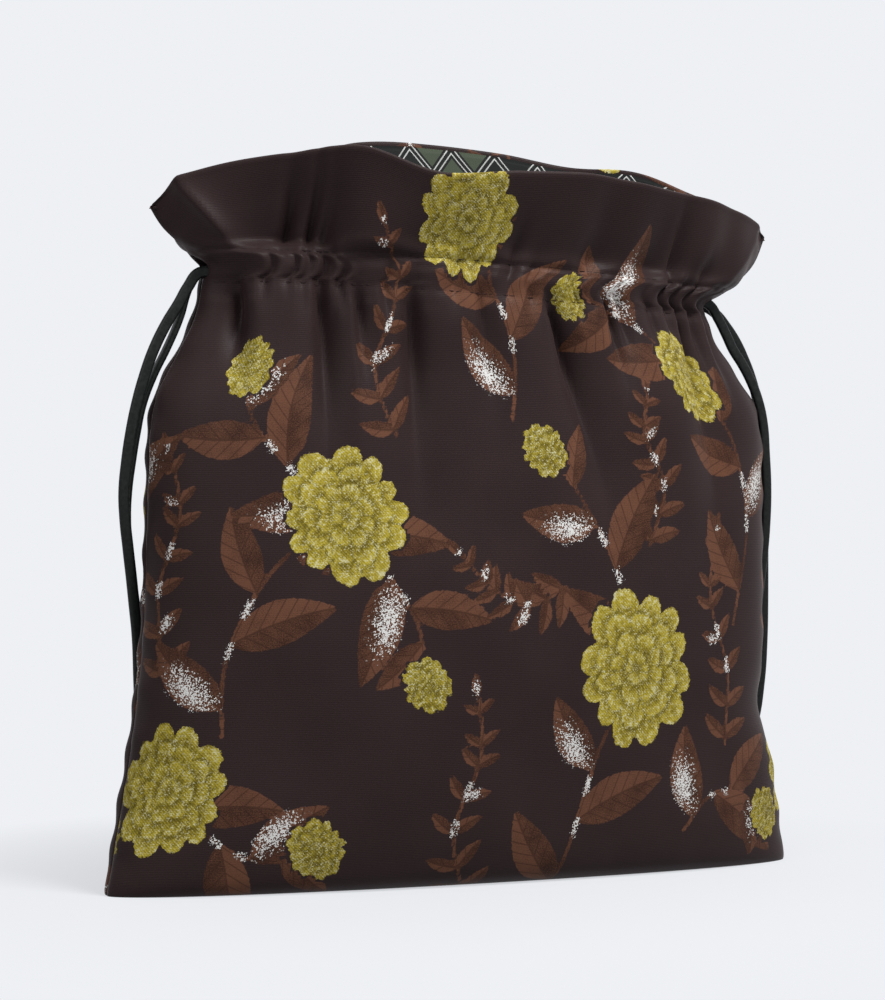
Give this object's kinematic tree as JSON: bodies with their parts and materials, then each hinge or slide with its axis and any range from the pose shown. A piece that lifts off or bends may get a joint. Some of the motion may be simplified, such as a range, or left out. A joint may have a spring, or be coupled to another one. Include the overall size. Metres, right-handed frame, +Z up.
{
  "type": "drawstring pouch",
  "caption": "Lined cloth drawstring pouch standing on its base, with a gathered neck, a flared frill and leather laces that leave the channel at the sides.",
  "frame": {"origin": "on the floor, under the middle of the base", "axes": "+Z up, the front faces -Y, the width runs along X from the left side seam to the right one"},
  "size_m": [0.253, 0.0908, 0.2597],
  "materials": {
    "outer_jacquard": "dark plum-brown satin jacquard with woven blossoms and leaves",
    "printed_lining": "black lining cloth printed with a pale diamond trellis",
    "lace_leather": "dark green-black lace with a soft sheen"
  },
  "bodies": {
    "root": {"outer_front_panel": "outer_jacquard", "outer_back_panel": "outer_jacquard", "lining_front_panel": "printed_lining", "lining_back_panel": "printed_lining", "left_drawcord": "lace_leather", "right_drawcord": "lace_leather", "left_drawcord_knot": "lace_leather", "right_drawcord_knot": "lace_leather"}
  },
  "joints": []
}
